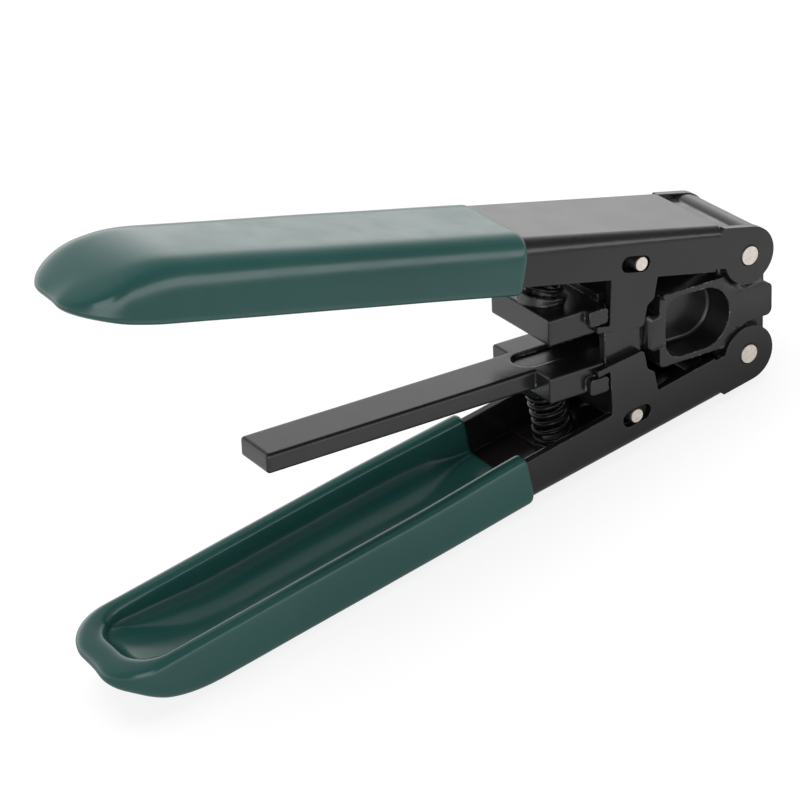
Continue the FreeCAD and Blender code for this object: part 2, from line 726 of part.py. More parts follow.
def build():
    """Every piece of the open tool by name, in the tool's own frame."""
    channel = handle()
    rivet = peened_bar(0, PIVOT_HALF_GAP, RIVET_RADIUS, CHEEK_HALF + RIVET_PROUD)
    plate = guide_plate()
    pieces = {
        "front_body": head_block(),
        "left_guide_plate": plate,
        "right_guide_plate": plate.mirror(ORIGIN, AXIS_Y),
    }
    upper = {
        "pivot_rivet": rivet,
        "handle": at_upper_pivot(channel),
        "spring_seat": at_upper_pivot(spring_seat()),
        "spring": at_upper_pivot(spring()),
        "blade": blade(),
        "blade_screws": blade_screws(0),
    }
    for name, piece in upper.items():
        pieces["upper_" + name] = piece
        pieces["lower_" + name] = mirrored(piece)
    pieces["upper_grip"] = at_upper_pivot(grip(channel, UPPER_TIP))
    pieces["lower_grip"] = mirrored(at_upper_pivot(grip(channel, LOWER_TIP)))
    pieces["upper_jaw"] = jaw(UPPER_PIN_BACK, UPPER_GROOVE_REAR, [])
    pieces["upper_jaw_pin"] = jaw_pin(UPPER_PIN_BACK)
    pieces["lower_jaw"] = mirrored(jaw(LOWER_PIN_BACK, LOWER_GROOVE_REAR, [gauge_bar()]))
    pieces["lower_jaw_pin"] = mirrored(jaw_pin(LOWER_PIN_BACK))
    return pieces


def set_down(pieces):
    """Turns the tool until the lower handle lies flat, with the middle of its box over the origin."""
    lay = PIVOT_HALF_GAP * math.cos(math.radians(OPEN_ANGLE)) + WEB_HEIGHT + GRIP_OUTER
    for piece in pieces.values():
        piece.rotate(ORIGIN, AXIS_Y, OPEN_ANGLE)
        piece.translate(AXIS_Z * lay)
    whole = Part.makeCompound(list(pieces.values())).optimalBoundingBox(False)
    for piece in pieces.values():
        piece.translate(AXIS_X * (-whole.Center.x))
    return -whole.Center.x, lay


WORKSHOP = FreeCAD.newDocument("Workshop")
PIECES = build()
SHIFT, LIFT = set_down(PIECES)
os.makedirs("parts", exist_ok=True)
for node, solid in PIECES.items():
    solid.exportStep("parts/" + node + ".step")
print("tool origin at x %.4f, z %.4f" % (SHIFT, LIFT))
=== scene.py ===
"""Looks of a fibre drop cable stripper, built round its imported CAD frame."""

import json
import logging
import math
from abc import ABC, abstractmethod
from contextlib import contextmanager
from dataclasses import dataclass
from enum import Enum
from typing import Any, Callable, ClassVar, Iterator, Sequence

import bpy
from mathutils import Matrix, Vector

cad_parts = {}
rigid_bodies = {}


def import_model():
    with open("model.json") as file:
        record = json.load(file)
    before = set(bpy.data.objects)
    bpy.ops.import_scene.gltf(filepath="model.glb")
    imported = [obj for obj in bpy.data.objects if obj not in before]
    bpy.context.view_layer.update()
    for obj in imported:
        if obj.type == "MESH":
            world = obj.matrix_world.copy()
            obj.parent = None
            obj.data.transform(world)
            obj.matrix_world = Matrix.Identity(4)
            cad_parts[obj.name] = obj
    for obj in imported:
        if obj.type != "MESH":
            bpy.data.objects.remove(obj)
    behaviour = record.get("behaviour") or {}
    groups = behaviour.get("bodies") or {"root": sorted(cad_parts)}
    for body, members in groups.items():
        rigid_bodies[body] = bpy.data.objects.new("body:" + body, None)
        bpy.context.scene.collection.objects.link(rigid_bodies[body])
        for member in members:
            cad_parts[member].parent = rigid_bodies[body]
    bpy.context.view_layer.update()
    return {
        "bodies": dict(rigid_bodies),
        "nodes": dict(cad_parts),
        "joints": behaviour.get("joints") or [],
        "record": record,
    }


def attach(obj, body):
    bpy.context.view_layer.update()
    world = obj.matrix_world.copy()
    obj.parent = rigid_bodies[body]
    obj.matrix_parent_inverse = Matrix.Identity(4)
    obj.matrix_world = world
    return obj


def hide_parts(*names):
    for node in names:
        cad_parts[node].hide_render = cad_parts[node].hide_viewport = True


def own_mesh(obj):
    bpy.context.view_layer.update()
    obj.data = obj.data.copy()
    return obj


LOG = logging.getLogger("stripper")

Colour = tuple[float, float, float]
Point = tuple[float, float, float]
Range = tuple[float, float]
Frame = dict[str, Any]

MM = 0.001
QUARTER = math.pi / 2
WHITE: Colour = (1.0, 1.0, 1.0)

# Colour sockets of the Mix node, whose names its other types share
MIX_FIRST = 6
MIX_SECOND = 7
MIX_RESULT = 2

# Stretches of a noise that become a full blend
SOFT_NOISE: Range = (0.35, 0.65)
WIDE_NOISE: Range = (0.3, 0.7)


def ease(value: float, low: float, high: float) -> float:
    """Smooth step from 0 at low to 1 at high."""
    share = min(max((value - low) / (high - low), 0.0), 1.0)
    return share * share * (3 - 2 * share)


def toned(colour: Colour, by: float) -> Colour:
    """Colour made darker or lighter, at most full."""
    return tuple(min(1.0, by * part) for part in colour)


def select_only(obj: bpy.types.Object) -> None:
    """Makes one object the only selected and the active one."""
    bpy.ops.object.select_all(action="DESELECT")
    obj.select_set(True)
    bpy.context.view_layer.objects.active = obj


def add_object(name: str, data: bpy.types.ID) -> bpy.types.Object:
    """New object in the scene's own collection."""
    made = bpy.data.objects.new(name, data)
    bpy.context.scene.collection.objects.link(made)
    return made


@contextmanager
def editing(obj: bpy.types.Object) -> Iterator[None]:
    """Edit mode on one object, with the whole mesh selected at first."""
    select_only(obj)
    bpy.ops.object.mode_set(mode="EDIT")
    bpy.ops.mesh.select_all(action="SELECT")
    yield
    bpy.ops.object.mode_set(mode="OBJECT")


class Side(Enum):
    """Which of the two handles a piece belongs to."""

    UPPER = "upper"
    LOWER = "lower"

    @property
    def out(self) -> int:
        """+1 where the handle's web faces up, -1 where it faces down."""
        return 1 if self is Side.UPPER else -1

    def node(self, name: str) -> str:
        """Name of this side's CAD node."""
        return f"{self.value}_{name}"


class Way(Enum):
    """Direction along a handle's own axes: back from its pivot, or out through its web."""

    BACK = "back"
    OUT = "out"


class NodeGraph:
    """Short way to lay out the nodes of one material or world."""

    EDGE_SAMPLES = 6
    EDGE_TURN: Range = (0.995, 0.8)

    def __init__(self, tree: bpy.types.NodeTree) -> None:
        """Starts from an empty tree."""
        self.tree = tree
        self.tree.nodes.clear()

    def add(self, kind: str, **settings: Any) -> bpy.types.Node:
        """Adds a node and sets its properties.

        Args:
            kind: Node type without the ShaderNode prefix.
            settings: Properties to set on it.

        Returns:
            The new node.
        """
        node = self.tree.nodes.new("ShaderNode" + kind)
        for name, value in settings.items():
            setattr(node, name, value)
        return node

    def set(self, node: bpy.types.Node, **values: Any) -> bpy.types.Node:
        """Sets inputs by name: a socket is linked, anything else becomes the constant."""
        for name, value in values.items():
            self.plug(node.inputs[name.replace("_", " ")], value)
        return node

    def plug(self, target: bpy.types.NodeSocket, value: Any) -> None:
        """Links a socket to the target, or writes a constant into it."""
        if isinstance(value, bpy.types.NodeSocket):
            self.tree.links.new(value, target)
        elif target.type == "RGBA" and len(value) == 3:
            target.default_value = (*value, 1.0)
        else:
            target.default_value = value

    def maths(self, operation: str, first: Any, second: Any = 0.0) -> bpy.types.NodeSocket:
        """Result of one Math node."""
        node = self.add("Math", operation=operation)
        self.plug(node.inputs[0], first)
        self.plug(node.inputs[1], second)
        return node.outputs[0]

    def span(
        self, value: Any, source: Range, target: Range = (0.0, 1.0)
    ) -> bpy.types.NodeSocket:
        """Value mapped smoothly from one range to another and kept inside it.

        Args:
            value: Socket or number to map.
            source: Values at which the result begins and stops to change.
            target: Results at those two values.

        Returns:
            The mapped value.
        """
        node = self.add("MapRange", interpolation_type="SMOOTHSTEP")
        self.plug(node.inputs["Value"], value)
        ends = ("From Min", "From Max", "To Min", "To Max")
        for name, number in zip(ends, (*source, *target)):
            self.plug(node.inputs[name], number)
        return node.outputs["Result"]

    def blend(self, share: Any, first: Any, second: Any) -> bpy.types.NodeSocket:
        """Colour between two colours."""
        node = self.add("Mix", data_type="RGBA")
        self.plug(node.inputs["Factor"], share)
        self.plug(node.inputs[MIX_FIRST], first)
        self.plug(node.inputs[MIX_SECOND], second)
        return node.outputs[MIX_RESULT]

    def noise(
        self, scale: float, detail: float = 2.0, roughness: float = 0.5
    ) -> bpy.types.NodeSocket:
        """Noise over the object's own coordinates, with scale in cycles per metre."""
        node = self.add("TexNoise")
        self.set(node, Vector=self.place(), Scale=scale, Detail=detail, Roughness=roughness)
        return node.outputs["Fac"]

    def place(self) -> bpy.types.NodeSocket:
        """Object coordinates."""
        return self.add("TexCoord").outputs["Object"]

    def part(self, vector: bpy.types.NodeSocket, axis: str) -> bpy.types.NodeSocket:
        """One component of a vector."""
        node = self.add("SeparateXYZ")
        self.tree.links.new(vector, node.inputs[0])
        return node.outputs[axis]

    def bump(
        self, height: Any, distance: float, strength: float, normal: Any = None
    ) -> bpy.types.NodeSocket:
        """Normal shaped by a height.

        Args:
            height: Height from 0 to 1.
            distance: Metres that a height of 1 stands for.
            strength: Share of the effect.
            normal: Normal to start from, if not the surface's own.

        Returns:
            The shaped normal.
        """
        node = self.add("Bump")
        self.set(node, Height=height, Distance=distance, Strength=strength)
        if normal is not None:
            self.plug(node.inputs["Normal"], normal)
        return node.outputs["Normal"]

    def edge(self, radius: float) -> tuple[bpy.types.NodeSocket, bpy.types.NodeSocket]:
        """Rounded normal at sharp edges, and how strongly it turns there.

        Args:
            radius: Radius of the edge round in metres.

        Returns:
            The rounded normal, and a mask that is 0 on flats and near 1 on edges.
        """
        bevel = self.add("Bevel", samples=self.EDGE_SAMPLES)
        bevel.inputs["Radius"].default_value = radius
        flat = self.add("NewGeometry")
        dot = self.add("VectorMath", operation="DOT_PRODUCT")
        self.plug(dot.inputs[0], bevel.outputs["Normal"])
        self.plug(dot.inputs[1], flat.outputs["Normal"])
        return bevel.outputs["Normal"], self.span(dot.outputs["Value"], self.EDGE_TURN)


@dataclass(frozen=True)
class Finish(ABC):
    """A surface finish that becomes one material.

    Scales of noises are in cycles per metre, edge rounds and depths in millimetres.
    """

    name: str

    def material(self) -> bpy.types.Material:
        """The finish as a new node material."""
        made = bpy.data.materials.new(self.name)
        made.use_nodes = True
        graph = NodeGraph(made.node_tree)
        output = graph.add("OutputMaterial")
        shader = graph.add("BsdfPrincipled")
        graph.tree.links.new(shader.outputs["BSDF"], output.inputs["Surface"])
        self.shade(graph, shader)
        return made

    @abstractmethod
    def shade(self, graph: NodeGraph, shader: bpy.types.Node) -> None:
        """Sets the shader's inputs for this finish."""


@dataclass(frozen=True)
class BlackCoat(Finish):
    """Satin black coating on metal, lighter along its edges: partly scuffed coat, partly a painted
    edge highlight.
    """

    CLOUD_SCALE: ClassVar[float] = 90.0
    DEEP_TONE: ClassVar[float] = 0.7
    SCUFF_AND_GLINT_SCALE: ClassVar[float] = 650.0
    SCUFF_AND_GLINT_RANGE: ClassVar[Range] = (0.5, 0.68)
    PATCH_SCALE: ClassVar[float] = 160.0
    SPECK_SCALE: ClassVar[float] = 2600.0
    SPECK_DEPTH: ClassVar[float] = 0.02

    colour: Colour
    # Light edge colour: scuffed coat plus a painted edge highlight.
    worn_and_highlit: Colour
    roughness: float
    patchy: float
    grain: float
    edge_round: float
    # Strength of the lightened edges: scuffing plus a painted edge highlight.
    wear_and_highlight: float
    ior: float = 1.56

    def shade(self, graph: NodeGraph, shader: bpy.types.Node) -> None:
        """Mottled satin black with fine grain; its edges lighten, partly as scuffed coat and partly
        as a painted edge highlight.
        """
        normal, edge = graph.edge(self.edge_round * MM)
        cloud = graph.span(graph.noise(self.CLOUD_SCALE, detail=3.0), SOFT_NOISE)
        base = graph.blend(cloud, toned(self.colour, self.DEEP_TONE), self.colour)
        # Edges broken up by noise, lightened for scuffed coat and for a painted edge highlight.
        scuff_and_glint_noise = graph.noise(self.SCUFF_AND_GLINT_SCALE, detail=5.0, roughness=0.7)
        scuffs_and_glints = graph.maths("MULTIPLY", edge, graph.span(scuff_and_glint_noise, self.SCUFF_AND_GLINT_RANGE))
        worn_and_highlit = graph.maths("MULTIPLY", scuffs_and_glints, self.wear_and_highlight)
        patches = graph.noise(self.PATCH_SCALE, detail=3.0)
        rough = (self.roughness - self.patchy, self.roughness + self.patchy)
        specks = graph.span(graph.noise(self.SPECK_SCALE), WIDE_NOISE)
        graph.set(
            shader,
            Base_Color=graph.blend(worn_and_highlit, base, self.worn_and_highlit),
            Roughness=graph.span(patches, WIDE_NOISE, rough),
            IOR=self.ior,
            Normal=graph.bump(specks, self.SPECK_DEPTH * MM, self.grain, normal),
        )


@dataclass(frozen=True)
class DippedVinyl(Finish):
    """Thick glossy vinyl, slightly wavy, with a few tiny bubbles."""

    EDGE_ROUND: ClassVar[float] = 0.35
    CLOUD_SCALE: ClassVar[float] = 45.0
    WAVE_SCALE: ClassVar[float] = 70.0
    WAVE_DEPTH: ClassVar[float] = 0.6
    SHEEN_SCALE: ClassVar[float] = 160.0
    SHEEN_SPREAD: ClassVar[Range] = (0.03, 0.05)
    BUBBLE_SCALE: ClassVar[float] = 260.0
    BUBBLE_RANGE: ClassVar[Range] = (0.05, 0.0)
    BUBBLE_DEPTH: ClassVar[float] = 0.12
    BUBBLE_STRENGTH: ClassVar[float] = 0.8
    GROUP_SCALE: ClassVar[float] = 31.0
    GROUP_RANGE: ClassVar[Range] = (0.55, 0.60)
    IOR: ClassVar[float] = 1.53

    colour: Colour
    deep: Colour
    roughness: float
    wave: float

    def shade(self, graph: NodeGraph, shader: bpy.types.Node) -> None:
        """Glossy vinyl with slow waves from the dip and fine bubbles in groups."""
        normal, _ = graph.edge(self.EDGE_ROUND * MM)
        cloud = graph.span(graph.noise(self.CLOUD_SCALE), SOFT_NOISE)
        slow = graph.noise(self.WAVE_SCALE, detail=1.0, roughness=0.4)
        waves = graph.bump(slow, self.WAVE_DEPTH * MM, self.wave, normal)
        cells = graph.add("TexVoronoi", feature="F1")
        graph.set(cells, Vector=graph.place(), Scale=self.BUBBLE_SCALE)
        groups = graph.span(graph.noise(self.GROUP_SCALE, detail=0.0), self.GROUP_RANGE)
        dots = graph.span(cells.outputs["Distance"], self.BUBBLE_RANGE)
        bubbles = graph.maths("MULTIPLY", dots, groups)
        sheen = graph.noise(self.SHEEN_SCALE, detail=3.0)
        less, more = self.SHEEN_SPREAD
        graph.set(
            shader,
            Base_Color=graph.blend(cloud, self.deep, self.colour),
            Roughness=graph.span(sheen, WIDE_NOISE, (self.roughness - less, self.roughness + more)),
            IOR=self.IOR,
            Normal=graph.bump(bubbles, self.BUBBLE_DEPTH * MM, self.BUBBLE_STRENGTH, waves),
        )


@dataclass(frozen=True)
class PeenedSteel(Finish):
    """Blackened pin or rivet whose ends across the tool are bare and bright."""

    END_TURN: ClassVar[Range] = (0.86, 0.95)
    METAL: ClassVar[float] = 0.6
    DULL_TONE: ClassVar[float] = 0.82
    MARK_SCALE: ClassVar[float] = 1900.0
    MARK_RANGE: ClassVar[Range] = (0.35, 0.7)
    MARK_SPREAD: ClassVar[Range] = (0.06, 0.1)
    MARK_DEPTH: ClassVar[float] = 0.015
    MARK_STRENGTH: ClassVar[float] = 0.5

    colour: Colour
    dark: Colour
    roughness: float

    def shade(self, graph: NodeGraph, shader: bpy.types.Node) -> None:
        """Bright turned end faces, black elsewhere."""
        across = graph.part(graph.add("NewGeometry").outputs["Normal"], "Y")
        end = graph.span(graph.maths("ABSOLUTE", across), self.END_TURN)
        marks = graph.noise(self.MARK_SCALE, detail=5.0, roughness=0.65)
        dull = toned(self.colour, self.DULL_TONE)
        tone = graph.blend(graph.span(marks, self.MARK_RANGE), dull, self.colour)
        less, more = self.MARK_SPREAD
        graph.set(
            shader,
            Base_Color=graph.blend(end, self.dark, tone),
            Metallic=graph.maths("MULTIPLY", end, self.METAL),
            Roughness=graph.span(marks, WIDE_NOISE, (self.roughness - less, self.roughness + more)),
            Normal=graph.bump(marks, self.MARK_DEPTH * MM, self.MARK_STRENGTH),
        )


@dataclass(frozen=True)
class GroundSteel(Finish):
    """Hard steel with fine grinding lines across the tool."""

    EDGE_ROUND: ClassVar[float] = 0.08
    EDGE_TONE: ClassVar[float] = 1.3
    LINE_SCALE: ClassVar[Point] = (9000.0, 120.0, 9000.0)
    LINE_SPREAD: ClassVar[float] = 0.08
    LINE_DEPTH: ClassVar[float] = 0.01
    LINE_STRENGTH: ClassVar[float] = 0.4

    colour: Colour
    roughness: float

    def shade(self, graph: NodeGraph, shader: bpy.types.Node) -> None:
        """Metal with stretched noise as grinding lines."""
        lines = graph.add("Mapping")
        graph.set(lines, Vector=graph.place(), Scale=self.LINE_SCALE)
        noise = graph.add("TexNoise")
        graph.set(noise, Vector=lines.outputs["Vector"], Scale=1.0, Detail=2.0)
        grind = noise.outputs["Fac"]
        normal, edge = graph.edge(self.EDGE_ROUND * MM)
        rough = (self.roughness - self.LINE_SPREAD, self.roughness + self.LINE_SPREAD)
        graph.set(
            shader,
            Base_Color=graph.blend(edge, self.colour, toned(self.colour, self.EDGE_TONE)),
            Metallic=1.0,
            Roughness=graph.span(grind, WIDE_NOISE, rough),
            Normal=graph.bump(grind, self.LINE_DEPTH * MM, self.LINE_STRENGTH, normal),
        )


# The light edge colours and strengths below stand for scuffed coat and a painted edge highlight.
SHEET = BlackCoat(
    "black_sheet",
    colour=(0.0115, 0.0098, 0.0096),
    worn_and_highlit=(0.22, 0.20, 0.19),
    roughness=0.19,
    patchy=0.015,
    grain=0.10,
    edge_round=0.32,
    wear_and_highlight=0.55,
)
CASTING = BlackCoat(
    "black_casting",
    colour=(0.0145, 0.014, 0.014),
    worn_and_highlit=(0.42, 0.40, 0.38),
    roughness=0.22,
    patchy=0.04,
    grain=0.22,
    edge_round=0.55,
    wear_and_highlight=0.8,
)
VINYL = DippedVinyl(
    "grip_vinyl",
    colour=(0.018, 0.080, 0.072),
    deep=(0.016, 0.073, 0.066),
    roughness=0.17,
    wave=0.18,
)
BRIGHT = PeenedSteel(
    "bright_steel", colour=(0.93, 0.84, 0.76), dark=(0.02, 0.02, 0.02), roughness=0.38
)
TOOL = GroundSteel("tool_steel", colour=(0.5, 0.5, 0.51), roughness=0.3)
WIRE = BlackCoat(
    "spring_steel",
    colour=(0.008, 0.008, 0.0085),
    worn_and_highlit=(0.12, 0.11, 0.11),
    roughness=0.24,
    patchy=0.04,
    grain=0.15,
    edge_round=0.1,
    wear_and_highlight=0.2,
    ior=1.35,
)
FINISHES: tuple[Finish, ...] = (SHEET, CASTING, VINYL, BRIGHT, TOOL, WIRE)


@dataclass
class CadNodes:
    """The CAD nodes that stay as they are and only take a finish."""

    frame: Frame
    materials: dict[str, bpy.types.Material]

    def dress(self) -> None:
        """Gives every node the material of its slot in the record."""
        for row in self.frame["record"]["subparts"]:
            node = self.frame["nodes"][row["node"]]
            node.data.materials.clear()
            node.data.materials.append(self.materials[row["material_slot"]])


@dataclass
class HandleAxes:
    """A handle's own axes: back from its pivot, and out through its web."""

    frame: Frame
    side: Side

    def joint(self, name: str) -> dict[str, Any]:
        """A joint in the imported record."""
        return next(joint for joint in self.frame["joints"] if joint["name"] == name)

    def pivot(self) -> Vector:
        """Centre of the handle's pivot."""
        return Vector(self.joint(self.side.node("handle_hinge"))["pos_m"])

    def way(self, which: Way) -> Vector:
        """Unit vector along one of the handle's axes."""
        lean = self.lean() if self.side is Side.UPPER else 0.0
        back = Vector((-math.cos(lean), 0.0, math.sin(lean)))
        out = Vector((math.sin(lean), 0.0, math.cos(lean)))
        return back if which is Way.BACK else out * self.side.out

    def lean(self) -> float:
        """Angle of the upper handle over the lower one, twice that of the upper jaw's slide."""
        axis = self.joint("upper_jaw_slide")["axis"]
        return 2.0 * math.atan2(-axis[0], -axis[2])

    def matrix(self) -> Matrix:
        """Turns points along the handle's axes, back, across and out, into the tool's frame."""
        across = (0.0, -self.side.out, 0.0)
        turn = Matrix((self.way(Way.BACK), across, self.way(Way.OUT))).transposed()
        return Matrix.Translation(self.pivot()) @ turn.to_4x4()

    def point(self, back: float, out: float, across: float = 0.0) -> Vector:
        """Point given in millimetres along the handle's axes."""
        side = Vector((0.0, across * MM, 0.0))
        place = self.pivot() + self.way(Way.BACK) * (back * MM)
        return place + self.way(Way.OUT) * (out * MM) + side


@dataclass
class CoilSpring:
    """Coil spring between a jaw and its handle.

    Sizes are in millimetres along the handle's axes. The turns near the top flare.
    """

    frame: Frame
    side: Side
    material: bpy.types.Material
    back: float = 38.85
    foot: float = -8.397
    top: float = 3.6
    radius: float = 3.5
    wire: float = 0.94
    closed_gap: float = 0.06
    end_gap: float = 0.05
    flare: float = 0.45
    flare_turns: Range = (3.0, 1.5)
    turns: int = 7
    steps: int = 20
    keep: float = 0.86

    def build(self) -> bpy.types.Object:
        """Winds the wire along a smooth curve and turns it into a mesh.

        Returns:
            The coil, which stands on the jaw.
        """
        axes = HandleAxes(self.frame, self.side)
        curve = bpy.data.curves.new(self.side.node("spring_wire"), "CURVE")
        curve.dimensions = "3D"
        curve.bevel_depth = self.wire / 2 * MM
        curve.bevel_resolution = 5
        curve.use_fill_caps = True
        spline = curve.splines.new("NURBS")
        count = self.turns * self.steps + 1
        spline.points.add(count - 1)
        flare_low, flare_high = (self.turns - before for before in self.flare_turns)
        for index in range(count):
            turn = index / self.steps
            angle = 2 * math.pi * turn
            radius = self.radius + self.flare * ease(turn, flare_low, flare_high)
            back = self.back + radius * math.cos(angle)
            place = axes.point(back, self.height(turn), radius * math.sin(angle))
            spline.points[index].co = (*place, 1.0)
        spline.order_u = 4
        spline.use_endpoint_u = True
        spline.resolution_u = 2
        wound = add_object(self.side.node("coil"), curve)
        select_only(wound)
        bpy.ops.object.convert(target="MESH")
        bpy.ops.object.shade_smooth()
        wound.data.materials.clear()
        wound.data.materials.append(self.material)
        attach(wound, self.side.node("jaw"))
        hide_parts(self.side.node("spring"))
        anchor = axes.point(self.back, self.foot)
        self.side.node("handle_hinge")
        axes.way(Way.OUT)
        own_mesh(wound)
        return wound

    def height(self, turn: float) -> float:
        """Height of the wire's middle after so many turns; the end turns lie closed."""
        closed = self.wire + self.closed_gap
        low = self.foot + self.wire / 2 + self.end_gap
        high = self.top - self.wire / 2 - self.end_gap
        if turn <= 1:
            return low + closed * turn
        if turn >= self.turns - 1:
            return high - closed * (self.turns - turn)
        share = (turn - 1) / (self.turns - 2)
        return low + closed + share * (high - low - 2 * closed)


@dataclass
class HeadBlock:
    """Cast head whose saddle behind the upper knuckle is cut down, so the barrel stands proud.

    Sizes are in millimetres along the upper handle's axes, angles in degrees.
    """

    frame: Frame
    material: bpy.types.Material
    barrel: float = 5.5
    rear: float = 9.0
    floor: float = 4.7
    clear: float = 8.0
    half: float = 20.0
    arc_steps: int = 12
    weld: float = 0.001
    smooth: float = 30.0

    def build(self) -> bpy.types.Object:
        """Cuts a copy of the CAD head with a bar that clears the barrel's rear.

        Returns:
            The head.
        """
        head = add_object("head_block", self.frame["nodes"]["front_body"].data.copy())
        with editing(head):
            bpy.ops.mesh.remove_doubles(threshold=self.weld * MM)
        cutter = self.cutter()
        select_only(head)
        cut = head.modifiers.new("saddle", "BOOLEAN")
        cut.operation = "DIFFERENCE"
        cut.solver = "EXACT"
        cut.object = cutter
        bpy.ops.object.modifier_apply(modifier="saddle")
        bpy.data.objects.remove(cutter)
        bpy.ops.object.shade_smooth_by_angle(angle=math.radians(self.smooth))
        even = head.modifiers.new("even", "WEIGHTED_NORMAL")
        even.keep_sharp = True
        bpy.ops.object.modifier_apply(modifier="even")
        head.data.materials.clear()
        head.data.materials.append(self.material)
        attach(head, "head")
        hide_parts("front_body")
        return head

    def cutter(self) -> bpy.types.Object:
        """Bar across the tool whose underside follows the barrel and then the lowered saddle.

        Returns:
            The bar, to be removed after the cut.
        """
        turn = math.asin(self.floor / self.barrel) - QUARTER
        arc = [QUARTER + turn * step / self.arc_steps for step in range(self.arc_steps + 1)]
        outline = [(self.barrel * math.cos(angle), self.barrel * math.sin(angle)) for angle in arc]
        outline += [(self.rear, self.floor), (self.rear, self.clear), (0.0, self.clear)]
        count = len(outline)
        sides = (-self.half, self.half)
        points = [Vector((back, across, out)) * MM for across in sides for back, out in outline]
        faces = [tuple(range(count)), tuple(reversed(range(count, 2 * count)))]
        for step in range(count):
            following = (step + 1) % count
            faces.append((step, step + count, following + count, following))
        mesh = bpy.data.meshes.new("saddle_cutter")
        mesh.from_pydata(points, [], faces)
        mesh.transform(HandleAxes(self.frame, Side.UPPER).matrix())
        bar = add_object("saddle_cutter", mesh)
        with editing(bar):
            bpy.ops.mesh.normals_make_consistent(inside=False)
        return bar


class Stretch(Enum):
    """Stretch of a sleeve's plan outline, from the dip line round the rear end."""

    FLANK = "flank"
    CORNER = "corner"
    END = "end"


@dataclass(frozen=True)
class Station:
    """Place along the plan outline: its stretch, the share of it and the side across."""

    stretch: Stretch
    share: float
    across: int


@dataclass(frozen=True)
class Plan:
    """Plan outline of one level of a sleeve: half width, rear end and corner in millimetres."""

    half: float
    end: float
    corner: float

    def inset(self, by: float) -> "Plan":
        """The outline moved inwards, with its corners in proportion."""
        share = max(1 - by / self.half, 0.0)
        return Plan(self.half * share, self.end - by, self.corner * share)

    def towards(self, other: "Plan", share: float) -> "Plan":
        """Outline between this one and another."""
        pairs = ((self.half, other.half), (self.end, other.end), (self.corner, other.corner))
        return Plan(*(first + (second - first) * share for first, second in pairs))

    def spot(self, station: Station, start: float) -> tuple[float, float]:
        """Place of a station on this outline.

        Args:
            station: Place along the outline.
            start: Where the flanks begin, back from the pivot.

        Returns:
            How far back from the pivot and how far across it lies.
        """
        straight = self.end - self.corner
        middle = self.half - self.corner
        if station.stretch is Stretch.FLANK:
            return start + station.share * (straight - start), station.across * self.half
        if station.stretch is Stretch.CORNER:
            angle = station.share * QUARTER
            back = straight + self.corner * math.sin(angle)
            return back, station.across * (middle + self.corner * math.cos(angle))
        return self.end, station.across * middle * (1 - station.share)


